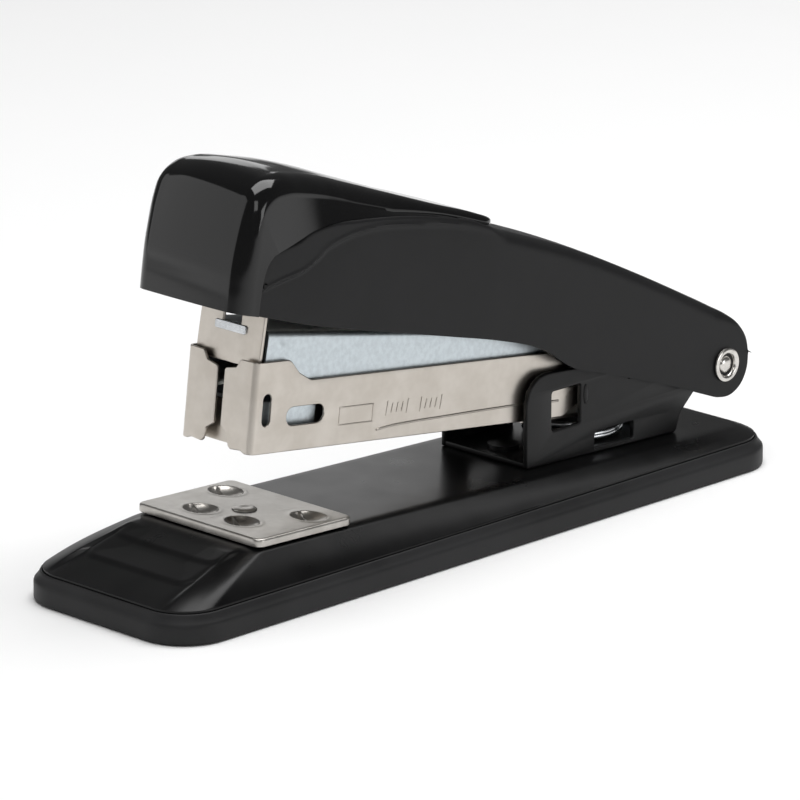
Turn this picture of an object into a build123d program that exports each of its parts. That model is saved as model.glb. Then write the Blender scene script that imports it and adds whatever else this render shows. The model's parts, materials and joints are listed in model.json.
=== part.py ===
from build123d import *
import math
import os

os.makedirs("parts", exist_ok=True)

# Desk stapler, millimetres. +Z up, the jaw points to -Y, the hinge is at +Y, X is the width.
# The origin is the centre of the sole's footprint, on the table.

# ---- driving dimensions -------------------------------------------------------------------
sole_length = 136.4
sole_width = 38.6
sole_corner = 8.4          # plan radius of the sole's corners
sole_side = 3.3            # upright part of the sole's edge
sole_height = 4.7          # up to the seat of the steel base
sole_bevel = 1.0           # how far the seat stands in from the edge

sheet_base = 1.0           # pressed steel of the base
base_inset = 1.2           # steel flange in from the sole's edge
flange_height = 0.6
plateau_front = 20.0       # from the sole's front to the start of the flat top
plateau_rear = 3.4         # from the flat top's end to the sole's rear
plateau_half = 13.2        # half width of the flat top
plateau_z_front = 10.3     # height of the flat top at its front
plateau_z_rear = 5.96      # and at its rear, which is lower

anvil_width = 27.4
anvil_length = 20.6
anvil_thick = 1.4
anvil_corner = 1.0
anvil_set = 31.4           # pivot of the plate, from the sole's front
recess_pitch = 9.8         # between the front and the rear pair of clinch pockets
recess_front_gap = 4.6     # pocket centres from the middle line, front pair
recess_rear_gap = 9.2      # the same, rear pair
recess_length = 7.0
recess_wide = 2.6
recess_deep = 0.6
anvil_gap = 0.10           # under the plate
button_radius = 5.0
stem_radius = 1.6

hinge_inset = 5.7          # hinge axis from the sole's rear
hinge_height = 16.25
tube_radius = 2.0          # hinge rivet's shank
tube_bore = 1.25
flare_radius = 2.85
flare_thick = 0.5
hinge_fit = 0.06           # radial running clearance on the rivet
bracket_gap = 0.85         # between the magazine and the bracket's cheeks
washer_room = 0.8          # between the bracket's cheeks and the handle's walls

rest_tilt = 7.2            # degrees that the magazine rises to the front at rest
press_swing = 4.0          # degrees that the driver arm stands up from the magazine at rest

sheet_bracket = 1.0
bracket_reach = 45.7       # from the hinge axis forward to the bracket's front edge
bracket_foot_end = 10.2    # from the hinge axis forward to the end of its foot
bracket_ear = 3.6          # radius of the ear round the hinge
bracket_top = 23.3         # height of its upper front shoulder
rivet_radius = 1.5         # shanks of the rivets that hold it to the base
rivet_head = 2.6
tail_thick = 0.5
window_size = (7.2, 6.6)
slot_size = (9.2, 2.9)

sheet_magazine = 0.5
magazine_half = 7.75       # outside, half width
nose_set = 25.2            # outside of the front flaps, from the sole's front, when closed
magazine_low = 6.5         # hinge axis down to the magazine's lower edge
magazine_high = 4.5        # hinge axis up to its upper edge
nose_high = 8.0            # the same at the nose
nose_length = 8.8
wall_rear = 35.0           # where the full-height walls end, from the hinge axis
ear_radius = 3.4

sheet_rail = 0.5
staple_room = 1.75         # between the rail and the magazine's wall, for the staples' legs
rail_rise = 7.0            # from the magazine's lower edge to the rail's top
rail_rear = 36.0
rod_radius = 0.8

pusher_length = 13.0
pusher_wall = 0.6
slide_gap = 0.25
tab_set = 5.4              # from the pusher's front face back to its tab
tab_thick = 1.2

sheet_arm = 0.5
arm_gap = 0.25             # between the arm and the magazine's walls
arm_high = 5.5
arm_low = 2.0
blade_side_gap = 0.3       # between the blade and the magazine's walls
blade_thick = 0.6
blade_gap = 0.35           # blade behind the front flaps
blade_step = 0.65          # its upper part stands back by this much
blade_high = 14.5

sheet_handle = 0.8
handle_end_radius = 5.4    # round end of the handle's walls about the hinge
cap_wall = 0.9
cap_lean = 17.5            # degrees that the cap's front wall leans back
cap_above_arm = 9.1        # cap's front lower edge above the driver arm's middle line
cheek_depth = 4.6          # how far the cap's front wraps round the handle's sides
front_overhang = 20.4      # cap's front lower edge from the sole's front
spring_wire = 1.1
spring_reach = 24.95       # from the hinge axis forward to the cone spring's middle
seat_thick = 0.6

# ---- derived places -----------------------------------------------------------------------
plateau_slope = (plateau_z_front - plateau_z_rear) / (sole_length - plateau_front - plateau_rear)
plateau_fall = math.degrees(math.atan(plateau_slope))
front = -sole_length / 2
hinge_station = sole_length - hinge_inset
hinge_y = front + hinge_station
hinge = Vector(0, hinge_y, hinge_height)
magazine_reach = hinge_station - nose_set
flaps_inside = magazine_reach - sheet_magazine
rail_top = rail_rise - magazine_low
magazine_inner = magazine_half - sheet_magazine
rail_half = magazine_inner - staple_room
arm_half = magazine_inner - arm_gap
blade_half = magazine_inner - blade_side_gap
blade_face = flaps_inside - blade_gap
bracket_inner = magazine_half + bracket_gap
bracket_half = bracket_inner + sheet_bracket
bracket_start = hinge_station - bracket_reach
bracket_end = hinge_station - bracket_foot_end
handle_inner = bracket_half + washer_room
handle_half = handle_inner + sheet_handle
handle_reach = hinge_station - front_overhang
arm_slope = math.tan(math.radians(rest_tilt + press_swing))


def plateau_z(station):
    """Height of the base's flat top, at a distance from the sole's front."""
    return plateau_z_front - (station - plateau_front) * plateau_slope


def on_base(station, height=0.0):
    """A frame that lies on the flat top, at a distance from the sole's front."""
    place = Location((0, front + station, plateau_z(station)))
    return place * Location((0, 0, 0), (-plateau_fall, 0, 0)) * Location((0, 0, height))


def in_magazine(shape):
    """From the magazine's own level frame, hinge at its origin, to the rest pose."""
    return Location(hinge, (-rest_tilt, 0, 0)) * shape


def in_arm(shape):
    """From the driver arm's own level frame to the rest pose."""
    return Location(hinge, (-rest_tilt - press_swing, 0, 0)) * shape


def slab(points, half_from, half_to):
    """A plate in the side view, from one distance off the middle plane to another."""
    outline = Polyline(*[(0, y, z) for y, z in points], close=True)
    return Location((half_from, 0, 0)) * extrude(make_face(outline), half_to - half_from, dir=(1, 0, 0))


def across(points, half):
    """A plate in the side view that spans the whole width."""
    return slab(points, -half, half)


def both_sides(points, inner, outer):
    return slab(points, inner, outer) + slab(points, -outer, -inner)


def cross_pin(y, z, radius, half):
    """A cylinder along X."""
    return Location((0, y, z), (0, 90, 0)) * Cylinder(radius, 2 * half)


def standing(radius, height, low):
    """An upright cylinder that starts at a height."""
    return Location((0, 0, low)) * Cylinder(radius, height, align=(Align.CENTER, Align.CENTER, Align.MIN))


def side_disc(y, z, radius, inner, outer):
    """A pair of discs, one on each side of the middle plane."""
    middle = (inner + outer) / 2
    disc = Cylinder(radius, outer - inner)
    return (Location((middle, y, z), (0, 90, 0)) * disc) + (Location((-middle, y, z), (0, 90, 0)) * disc)


def side_slot(y, z, length, height, half, turn=0.0):
    """A round-ended cutter through both walls."""
    flat = SlotOverall(length, height) if length > height else SlotOverall(height, length, rotation=90)
    plane = Plane(origin=(-half, y, z), x_dir=(0, 1, 0), z_dir=(1, 0, 0))
    return extrude(plane * Location((0, 0, 0), (0, 0, turn)) * flat, 2 * half)


def save(shape, node):
    shape.label = node
    export_step(shape, f"parts/{node}.step")


# ---- sole and base ------------------------------------------------------------------------
def make_sole():
    lower = extrude(RectangleRounded(sole_width, sole_length, sole_corner), sole_side)
    seat_width = sole_width - 2 * sole_bevel
    seat_length = sole_length - 2 * sole_bevel
    seat = RectangleRounded(seat_width, seat_length, sole_corner - sole_bevel)
    top = loft([
        Location((0, 0, sole_side)) * RectangleRounded(sole_width, sole_length, sole_corner),
        Location((0, 0, sole_height)) * seat,
    ])
    return lower + top - push_button_space() - rivet_tail_space()


def push_button_space():
    """Room for the anvil's push button, up through the sole."""
    return on_base(anvil_set, -plateau_z(anvil_set)) * Cylinder(button_radius + 0.6, 2 * sole_height + 4)


def rivet_tail_space():
    """Room over the sole for the tails of the bracket's rivets."""
    drop = sheet_base + tail_thick + 0.2
    space = standing(rivet_head + 0.3, drop + 1, -drop)
    return [on_base(station) * space for station in rivet_stations()]


def base_outline(grow):
    width = sole_width - 2 * base_inset + 2 * grow
    length = sole_length - 2 * base_inset + 2 * grow
    return RectangleRounded(width, length, sole_corner - base_inset + grow)


def plateau_face(grow, lower):
    """The flat top's outline, on the falling plane."""
    length = sole_length - plateau_front - plateau_rear + 2 * grow
    middle = (plateau_front + sole_length - plateau_rear) / 2
    return on_base(middle, -lower) * RectangleRounded(2 * (plateau_half + grow), length, 4.0 + grow)


def make_base_shell():
    flange_top = sole_height + flange_height
    flange = Location((0, 0, sole_height)) * extrude(base_outline(0), flange_height)
    hill = loft([Location((0, 0, flange_top)) * base_outline(-0.4), plateau_face(0, 0)])
    inside = -0.4 - 1.6 * sheet_base
    hollow = loft([
        Location((0, 0, sole_height - sheet_base)) * base_outline(inside),
        plateau_face(-0.5 * sheet_base, sheet_base),
    ])
    shell = flange + hill
    for station in step_stations():
        shell += step_ridge(station)
    shell -= hollow
    shell -= on_base(anvil_set) * Cylinder(stem_radius + 0.3, 20)
    for station in rivet_stations():
        shell -= on_base(station) * Cylinder(rivet_radius, 8)
    return shell


def step_stations():
    """The two pressed steps across the front slope."""
    run = plateau_front - base_inset
    return (base_inset + 0.36 * run, base_inset + 0.64 * run)


def step_ridge(station):
    """A low shelf that stands out of the front slope."""
    run = plateau_front - base_inset
    rise = plateau_z_front - sole_height - flange_height
    above_slope = 0.75
    shelf = 1.0
    top = sole_height + flange_height + rise * (station - base_inset) / run + above_slope
    ridge = extrude(RectangleRounded(1.6 * plateau_half, 4.0, 1.2), shelf)
    return Location((0, front + station + 2.0, top - shelf)) * ridge


# ---- anvil --------------------------------------------------------------------------------
def make_anvil_plate():
    plate = extrude(RectangleRounded(anvil_width, anvil_length, anvil_corner), anvil_thick)
    plate = fillet(plate.faces().sort_by(Axis.Z)[-1].edges(), 0.35)
    pockets = []
    for end, gap in ((-1, recess_front_gap), (1, recess_rear_gap)):
        for side in (-1, 1):
            pocket = extrude(SlotOverall(recess_length, recess_wide), recess_deep + 1)
            place = (side * gap, end * recess_pitch / 2, anvil_thick - recess_deep)
            pockets.append(Location(place, (0, 0, 0)) * pocket)
    plate -= pockets
    plate -= Cylinder(stem_radius + 0.4, 10)
    return on_base(anvil_set, anvil_gap) * plate


def make_anvil_rivet():
    """The rivet's head in the plate's hole, and the sleeve that turns on the stem."""
    head = standing(2.1, 0.35, anvil_thick)
    plug = standing(stem_radius + 0.4, anvil_thick, 0)
    socket = Cylinder(1.05, 1.9, align=(Align.CENTER, Align.CENTER, Align.CENTER))
    return on_base(anvil_set, anvil_gap) * (head + plug - socket)


def make_anvil_button():
    """Stem through the base, with the button that a finger presses from below."""
    low = -plateau_z(anvil_set) + 1.0
    stem = standing(stem_radius, -low - 0.2, low)
    tip = standing(1.0, 1.1, -0.2)
    disc = standing(button_radius, 1.6, low)
    return on_base(anvil_set) * (stem + tip + disc)


def make_anvil_spring():
    """Wave washer between the button and the base."""
    low = -plateau_z(anvil_set) + 2.6
    high = -sheet_base - 0.02
    ring = Cylinder(3.6, 0.4) - Cylinder(stem_radius + 0.35, 1)
    middle = (low + high) / 2
    coils = [Location((0, 0, middle + step * 1.0)) * ring for step in (-1, 0, 1)]
    posts = []
    for step, side in ((-0.5, 1), (0.5, -1)):
        posts.append(Location((side * 2.8, 0, middle + step * 1.0)) * Box(0.8, 0.8, 1.0))
    return on_base(anvil_set) * (coils[0] + coils[1] + coils[2] + posts[0] + posts[1])


# ---- bracket and hinge --------------------------------------------------------------------
def station_y(station):
    return front + station


def make_bracket():
    """U bracket: a floor riveted to the base and two cheeks that carry the hinge."""
    start = station_y(bracket_start)
    end = station_y(bracket_end)
    foot_front = plateau_z(bracket_start) + 0.02
    foot_rear = plateau_z(bracket_end) + 0.02
    neck = hinge_height - bracket_ear * 0.95
    cheek = [
        (start, foot_front),
        (end, foot_rear),
        (end + 1.0, foot_rear + 2.6),
        (end + 2.8, neck - 1.6),
        (end + 5.6, neck - 0.3),
        (hinge_y, neck),
        (hinge_y, hinge_height + bracket_ear),
        (hinge_y - 1.6, hinge_height + bracket_ear),
        (start + 12.0, bracket_top - 1.2),
        (start + 5.0, bracket_top),
        (start + 1.5, bracket_top - 1.5),
        (start, bracket_top - 5.0),
    ]
    cheeks = both_sides(cheek, bracket_inner, bracket_half)
    cheeks += side_disc(hinge_y, hinge_height, bracket_ear, bracket_inner, bracket_half)
    floor = [
        (start, foot_front),
        (end, foot_rear),
        (end, foot_rear + sheet_bracket),
        (start, foot_front + sheet_bracket),
    ]
    body = cheeks + across(floor, bracket_half)
    cut = 2 * bracket_half + 2
    window = Location((0, start + 9.2, bracket_top - 7.0)) * Box(cut, *window_size)
    slot_station = bracket_start + 20.6
    slot_z = plateau_z(slot_station) + sheet_bracket + slot_size[1] / 2 - 0.3
    slot = Location((0, station_y(slot_station), slot_z)) * Box(cut, *slot_size)
    body -= [window, slot, cross_pin(hinge_y, hinge_height, tube_radius, cut)]
    for station in rivet_stations():
        body -= on_base(station) * Cylinder(rivet_radius, 8)
    return body


def rivet_stations():
    return (bracket_start + 4.5, bracket_end - 3.5)


def make_bracket_rivets():
    rivets = []
    for station in rivet_stations():
        shank = standing(rivet_radius, sheet_base + sheet_bracket + 0.02, -sheet_base)
        head = standing(rivet_head, 0.7, sheet_bracket + 0.02)
        tail = standing(rivet_head, tail_thick, -sheet_base - tail_thick)
        rivets.append(on_base(station) * (shank + head + tail))
    return Compound(children=rivets)


def make_hinge_rivet():
    """Tubular rivet through the handle, the bracket, the magazine and the arm."""
    outer = handle_half + 0.1
    shank = cross_pin(hinge_y, hinge_height, tube_radius, outer)
    flares = side_disc(hinge_y, hinge_height, flare_radius, outer, outer + flare_thick)
    bore = cross_pin(hinge_y, hinge_height, tube_bore, outer + flare_thick + 1)
    return shank + flares - bore


def make_hinge_pin():
    return cross_pin(hinge_y, hinge_height, tube_bore, handle_half - 0.2)


def make_hinge_washers():
    ring = side_disc(hinge_y, hinge_height, 3.5, bracket_half + 0.03, handle_inner - 0.1)
    return ring - cross_pin(hinge_y, hinge_height, tube_radius, handle_half)


def make_return_spring():
    """Cone spring between the bracket's floor and the magazine's seat."""
    y = hinge_y - spring_reach
    floor = plateau_z(hinge_station - spring_reach) + sheet_bracket + 0.35
    low_radius = bracket_inner - spring_wire / 2 - 0.25
    top_radius = low_radius - 1.9
    room = seat_underside(spring_reach - top_radius) - 0.05 - floor - spring_wire
    middle = floor + spring_wire / 2
    spring = None
    for radius, lift in [(low_radius, 0.0), (low_radius, 0.575 * room), (top_radius, room)]:
        ring = Location((0, y, middle + lift)) * Torus(radius, spring_wire / 2)
        spring = ring if spring is None else spring + ring
    spring += Location((low_radius, y, middle + 0.3 * room)) * Box(0.7, 0.9, 0.65 * room)
    spring += Location((0.9 - low_radius, y, middle + 0.875 * room)) * Box(2.2, 0.9, 0.45 * room)
    return spring


def seat_underside(reach):
    """Height of the spring seat's lower face, at a level distance forward of the hinge."""
    tilt = math.radians(rest_tilt)
    return hinge_height + reach * math.tan(tilt) - (magazine_low + seat_thick) / math.cos(tilt)


# ---- magazine -----------------------------------------------------------------------------
def make_magazine():
    """Open-topped channel with a raised nose and two front flaps."""
    nose = magazine_reach
    nose_back = magazine_reach - nose_length
    wall = [
        (-nose, -magazine_low),
        (-wall_rear, -magazine_low),
        (-wall_rear, 0.0),
        (-ear_radius, 0.4),
        (-ear_radius, magazine_high - 1.6),
        (-wall_rear + 4.0, magazine_high),
        (-nose_back + 3.6, magazine_high),
        (-nose_back + 1.0, magazine_high + 1.2),
        (-nose_back, nose_high),
        (-nose, nose_high),
    ]
    ear = [(-ear_radius, 0.4), (0, 0.4), (0, ear_radius), (-ear_radius - 2.0, magazine_high - 1.6)]
    body = both_sides(wall, magazine_inner, magazine_half)
    body += both_sides(ear, magazine_inner, magazine_half)
    body += side_disc(0, 0, ear_radius, magazine_inner, magazine_half)
    floor_end = magazine_reach - 10.5
    body += across(floor_strip(wall_rear, floor_end, -magazine_low, sheet_magazine), magazine_half)
    for side in (-1, 1):
        body += front_flap(side)
    body -= side_slot(-magazine_reach + 2.9, 0.4, 1.8, 5.0, 20)
    body -= side_slot(-magazine_reach + 11.4, -1.0, 8.4, 1.9, 20)
    body -= cross_pin(0, 0, tube_radius + hinge_fit, 20)
    return in_magazine(body)


def floor_strip(near, far, low, thick):
    """Side view of a level strip, between two distances forward of the hinge."""
    return [(-far, low), (-near, low), (-near, low + thick), (-far, low + thick)]


def front_flap(side):
    """One half of the nose's front wall, notched at its inner corners."""
    gap = 0.75
    notch_top = 4.2
    notch_low = 2.4
    outline = Polyline(
        (side * magazine_half, -magazine_low + 0.8),
        (side * (magazine_half - 1.2), -magazine_low),
        (side * notch_low, -magazine_low),
        (side * notch_low, -magazine_low + 2.6),
        (side * gap, -magazine_low + 3.6),
        (side * gap, nose_high - 1.9),
        (side * (gap + 2.2), nose_high - 1.4),
        (side * notch_top, nose_high),
        (side * magazine_half, nose_high),
        close=True,
    )
    plane = Plane(origin=(0, -magazine_reach, 0), x_dir=(1, 0, 0), z_dir=(0, -1, 0))
    return extrude(plane * make_face(outline), -sheet_magazine)


def make_spring_seat():
    """Plate under the magazine's rear that the cone spring pushes on."""
    plate = floor_strip(rail_rear - 20.0, wall_rear + 8.0, -magazine_low - seat_thick, seat_thick)
    return in_magazine(across(plate, magazine_inner - 0.75))


def make_staple_rail():
    """Inverted channel that the staples straddle."""
    low = -magazine_low + sheet_magazine
    end = rail_end()
    walls = floor_strip(rail_rear, end, low, rail_top - low)
    roof = floor_strip(rail_rear, end, rail_top - sheet_rail, sheet_rail)
    rear = floor_strip(rail_rear, rail_rear + sheet_rail, low, rail_top - low)
    nose = floor_strip(end - sheet_rail, end, low, rail_top - low)
    rail = both_sides(walls, rail_half - sheet_rail, rail_half)
    rail += across(roof, rail_half) + across(rear, rail_half) + across(nose, rail_half)
    # slot along the top for the pusher's tab
    slot_length = end - rail_rear - 6.0
    rail -= Location((0, -(end + rail_rear) / 2, rail_top)) * Box(2.4, slot_length, 3)
    return in_magazine(rail)


def rail_end():
    return blade_face - blade_thick - 0.35


def rod_height():
    return rail_top - 3.4


def make_guide_rod():
    """Rod inside the rail that carries the pusher's spring."""
    end = rail_end() - sheet_rail
    length = end - rail_rear - sheet_rail
    middle = (end + rail_rear + sheet_rail) / 2
    return in_magazine(Location((0, -middle, rod_height()), (90, 0, 0)) * Cylinder(rod_radius, length))


# ---- pusher -------------------------------------------------------------------------------
def pusher_front():
    return blade_face - blade_thick - 0.4


def make_pusher():
    """Saddle over the rail, with a tab down to the rod."""
    face = pusher_front()
    back = face - pusher_length
    inner = rail_half + 0.2
    outer = inner + pusher_wall
    roof = rail_top + slide_gap
    low = 1.2 - magazine_low
    saddle = both_sides(floor_strip(back, face, low, roof + pusher_wall - low), inner, outer)
    saddle += across(floor_strip(back, face, roof, pusher_wall), outer)
    tab_low = rod_height() - 2.0
    tab_back = tab_set - face
    saddle += across(floor_strip(-tab_back - tab_thick, -tab_back, tab_low, roof + 0.1 - tab_low), 0.95)
    on_rod = Location((0, tab_back + tab_thick / 2, rod_height()), (90, 0, 0))
    ring = on_rod * Cylinder(2.0, tab_thick)
    bore = on_rod * Cylinder(rod_radius + 0.08, 4)
    return in_magazine(saddle + ring - bore)


def make_pusher_spring():
    """Light coil round the rod, drawn as a row of turns joined by a spine."""
    rear = rail_rear + sheet_rail + 0.1
    face = pusher_front() - tab_set - tab_thick - 0.05
    count = 30
    pitch = (face - rear - 0.5) / (count - 1)
    coil = Location((0, -(face + rear) / 2, rod_height() + 1.55)) * Box(0.4, face - rear, 0.4)
    for index in range(count):
        y = -(rear + 0.25 + pitch * index)
        coil += Location((0, y, rod_height()), (90, 0, 0)) * Torus(1.55, 0.24)
    return in_magazine(coil)


# ---- driver -------------------------------------------------------------------------------
def make_driver_arm():
    """Inverted channel above the magazine, with a tongue through the blade's window."""
    end = blade_face - blade_step - blade_thick - 0.05
    wall = [(-end, -arm_low), (-10.0, -arm_low), (-2.0, -ear_radius), (0, -ear_radius), (0, ear_radius),
            (-14.0, arm_high - 1.0), (-24.0, arm_high), (-end, arm_high)]
    inner = arm_half - sheet_arm
    body = both_sides(wall, inner, arm_half) + side_disc(0, 0, ear_radius, inner, arm_half)
    body += across(floor_strip(24.0, end, arm_high - sheet_arm, sheet_arm), arm_half)
    body += across(floor_strip(end - 2.0, blade_face + 0.3, arm_high - sheet_arm, sheet_arm), 1.8)
    head_face = blade_face - 0.02
    head = floor_strip(head_face - sheet_arm, head_face, arm_high - 1.5, 1.8)
    body += across(head, 3.4)
    body -= cross_pin(0, 0, tube_radius + hinge_fit, 20)
    body -= side_disc(-end + 3.2, arm_high - 2.6, 0.9, arm_half - 0.2, arm_half + 1.0)
    return in_arm(body)


def make_driver_blade():
    """Flat blade, stepped so that its lower end runs close behind the flaps."""
    low = 0.6
    split = 3.7
    front_line = [(0, -low), (0, split - 1.0), (blade_step, split), (blade_step, blade_high)]
    face = [(y - blade_face, z) for y, z in front_line]
    back = [(y + blade_thick, z) for y, z in reversed(face)]
    blade = across(face + back, blade_half)
    window = Location((0, -blade_face + blade_step, arm_high + 1.6)) * Box(4.0, 6, 5.2)
    return in_arm(blade - window)


def make_driver_saddle():
    """Bridge that holds the arm and the blade's top to the handle."""
    face = blade_face - blade_step - blade_thick - 0.02
    high = blade_high + 2.0
    under = [(0, arm_high + 4.6), (1.0, arm_high + 4.6), (1.0, high - 1.0), (26.0, high - 1.0),
             (29.6, arm_high), (40.0, arm_high)]
    over = [(40.0, arm_high + 1.0), (30.4, arm_high + 1.0), (26.8, high), (0, high)]
    return in_arm(across([(y - face, z) for y, z in under + over], arm_half - 1.8))


# ---- handle and cap -----------------------------------------------------------------------
def share(amount):
    """A station on the handle, from the hinge axis (0) to the cap's front edge (1)."""
    return hinge_y - amount * handle_reach


def arm_line(amount):
    """Height of the driver arm's middle line at a station on the handle."""
    return hinge_height + amount * handle_reach * arm_slope


# Each point is a station on the handle, and a height above the driver arm's middle line.


handle_lower = [(0.955, 8.59), (0.79, 6.6), (0.69, 5.98), (0.59, 5.26), (0.487, 4.51), (0.405, 3.15),
                (0.372, 2.18), (0.34, 0.12), (0.276, -0.98), (0.188, -2.36), (0.1, -4.03),
                (0.05, -5.29)]
handle_upper = [(-0.042, 6.92), (0, 8.9), (0.09, 12.23), (0.178, 15.26), (0.264, 17.98), (0.35, 20.11),
                (0.433, 21.89), (0.5, 23.13)]
cap_seam = [(0.5, 23.13), (0.55, 24.19), (0.63, 24.94), (0.75, 24.37), (0.83, 23.32), (0.875, 21.29),
            (0.93, 18.09)]
cap_top = [(0.487, 24.66), (0.52, 25.19), (0.6, 26.85), (0.68, 27.9), (0.76, 29.15), (0.82, 30.29),
           (0.88, 30.88)]


def side_points(stations):
    return [(share(amount), arm_line(amount) + height) for amount, height in stations]


def handle_outline():
    rear = [(hinge_y, hinge_height - handle_end_radius)]
    return side_points(handle_lower) + rear + side_points(handle_upper + cap_seam[1:])


def make_handle():
    """Long shell, open below, with the cap's seat let into its top."""
    walls = both_sides(handle_outline(), handle_inner, handle_half)
    walls += side_disc(hinge_y, hinge_height, handle_end_radius, handle_inner, handle_half)
    upper = side_points(handle_upper)
    lowered = [(y - 0.4, z - sheet_handle) for y, z in reversed(upper)]
    web = across(upper + lowered, handle_half)
    shell = walls + web
    shell -= cross_pin(hinge_y, hinge_height, tube_radius + hinge_fit, handle_half + 2)
    return shell


def cap_base():
    """Height of the cap's front lower edge."""
    return arm_line(1) + cap_above_arm


def cap_front(rise):
    """The cap's front wall leans back as it rises."""
    return station_y(front_overhang) + rise * math.tan(math.radians(cap_lean))


def cap_side(low, wall):
    """Side view of the cap: its top line, its brow, its front wall and a lower edge."""
    top = [(y, z - wall) for y, z in side_points(cap_top)]
    brow_z = top[-1][1]
    brow = cap_front(brow_z - cap_base()) + wall
    corner = [(brow + 3.4, brow_z + 0.9), (brow + 0.9, brow_z - 1.2)]
    foot = [(cap_front(0) + wall, cap_base()), (cap_front(0) + wall, low)]
    return top + corner + foot


def make_cap():
    """Gloss cover over the handle's front, with a front wall that hangs down."""
    narrow = handle_inner - 0.02
    cheek_back = station_y(front_overhang) + cheek_depth
    rear = share(cap_top[0][0])
    seat = [(y, z - 2.4) for y, z in side_points(cap_seam[:-1])]
    base = cap_base()
    behind = across(cap_side(base, 0)[:-2] + [(cheek_back, base)] + seat[::-1], narrow)
    edge = cap_side(base, 0)[-4:-1]
    before = across(edge + [(y + cheek_depth, z) for y, z in reversed(edge)], handle_half)
    inside = across(cap_side(base - 5, cap_wall) + [(rear, base - 5)], narrow - cap_wall)
    return behind + before - inside


def make_cap_clip():
    """Small spring clip under the cap's rear edge."""
    y, z = side_points(cap_top)[0]
    return Location((0, y - 1.6, z - cap_wall + 0.1), (-20, 0, 0)) * Box(5.0, 3.0, 0.4)


def make_handle_spring():
    """Torsion spring round the hinge tube: coils, one leg on the arm and one on the rail."""
    radius = tube_radius + 0.2 + 0.45
    coil = None
    for index in range(6):
        ring = Location((-2.75 + 1.1 * index, 0, 0), (0, 90, 0)) * Torus(radius, 0.45)
        coil = ring if coil is None else coil + ring
    spine = Location((0, radius, 0)) * Box(5.6, 0.5, 0.5)
    leg = Location((2.75, -13.0, radius)) * Box(0.8, 26.0, 0.8)
    return in_arm(coil + spine + leg)


save(make_sole(), "sole")
save(make_base_shell(), "base_shell")
save(make_anvil_plate(), "anvil_plate")
save(make_anvil_rivet(), "anvil_rivet")
save(make_anvil_button(), "anvil_button")
save(make_anvil_spring(), "anvil_spring")
save(make_bracket(), "bracket")
save(make_bracket_rivets(), "bracket_rivets")
save(make_hinge_rivet(), "hinge_rivet")
save(make_hinge_pin(), "hinge_pin")
save(make_hinge_washers(), "hinge_washers")
save(make_return_spring(), "return_spring")
save(make_magazine(), "magazine")
save(make_spring_seat(), "spring_seat")
save(make_staple_rail(), "staple_rail")
save(make_guide_rod(), "guide_rod")
save(make_pusher(), "pusher")
save(make_pusher_spring(), "pusher_spring")
save(make_driver_arm(), "driver_arm")
save(make_driver_blade(), "driver_blade")
save(make_driver_saddle(), "driver_saddle")
save(make_handle(), "handle")
save(make_cap(), "cap")
save(make_cap_clip(), "cap_clip")
save(make_handle_spring(), "handle_spring")
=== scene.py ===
import json
import math

import bmesh
import bpy
import numpy as np
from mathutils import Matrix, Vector


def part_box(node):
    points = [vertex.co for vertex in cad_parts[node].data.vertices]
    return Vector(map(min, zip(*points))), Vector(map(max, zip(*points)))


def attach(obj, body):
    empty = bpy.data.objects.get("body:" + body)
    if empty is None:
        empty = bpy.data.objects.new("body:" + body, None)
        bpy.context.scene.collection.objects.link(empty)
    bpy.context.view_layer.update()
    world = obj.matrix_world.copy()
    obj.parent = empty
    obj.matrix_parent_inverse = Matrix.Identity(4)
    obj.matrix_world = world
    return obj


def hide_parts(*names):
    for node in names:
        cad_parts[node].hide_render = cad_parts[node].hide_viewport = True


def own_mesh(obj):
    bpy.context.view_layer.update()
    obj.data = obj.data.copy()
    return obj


# A desk stapler. Shapes are worked out in millimetres and put into metres when a mesh is made.
mm = 0.001
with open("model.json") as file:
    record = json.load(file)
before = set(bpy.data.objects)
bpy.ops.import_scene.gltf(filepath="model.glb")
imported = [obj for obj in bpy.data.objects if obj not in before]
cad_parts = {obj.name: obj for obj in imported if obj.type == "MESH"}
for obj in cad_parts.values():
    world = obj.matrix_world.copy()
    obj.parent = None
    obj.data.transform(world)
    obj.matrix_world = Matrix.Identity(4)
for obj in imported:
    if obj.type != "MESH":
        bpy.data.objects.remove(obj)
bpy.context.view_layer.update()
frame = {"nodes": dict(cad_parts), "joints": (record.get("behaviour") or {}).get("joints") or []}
joints = {joint["name"]: joint for joint in frame["joints"]}
hinge = np.array(joints["magazine_swing"]["pos_m"]) / mm
slideAxis = joints["pusher_slide"]["axis"]
restTilt = math.atan2(-slideAxis[2], slideAxis[1])     # the magazine's rise at rest
pressTilt = math.radians(4.0)                          # the driver arm stands up from it by this
plateauFall = math.atan2(joints["anvil_lift"]["axis"][1], joints["anvil_lift"]["axis"][2])


def boxOf(node):  # lowest and highest corner of a node, in millimetres
    low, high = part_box(node)
    return np.array(low) / mm, np.array(high) / mm


soleLow, soleHigh = boxOf("sole")
frontY = soleLow[1]                                    # the sole's front edge
print("frame loaded, hinge at", hinge.round(2))


# ---- shaping tools ----
def gridFaces(rows, columns, loopRows=False, loopColumns=False):
    # four-sided faces between neighbouring rows and columns, which may close into a loop
    row, column = np.meshgrid(
        np.arange(rows if loopRows else rows - 1),
        np.arange(columns if loopColumns else columns - 1), indexing="ij")
    nextRow, nextColumn = (row + 1) % rows, (column + 1) % columns
    corners = [row * columns + column, nextRow * columns + column,
               nextRow * columns + nextColumn, row * columns + nextColumn]
    return np.stack(corners, -1).reshape(-1, 4)


def gridPart(grid, loopRows=False, loopColumns=False):
    # a part is its points and a list of face groups
    rows, columns = grid.shape[:2]
    return grid.reshape(-1, 3), [gridFaces(rows, columns, loopRows, loopColumns)]


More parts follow.
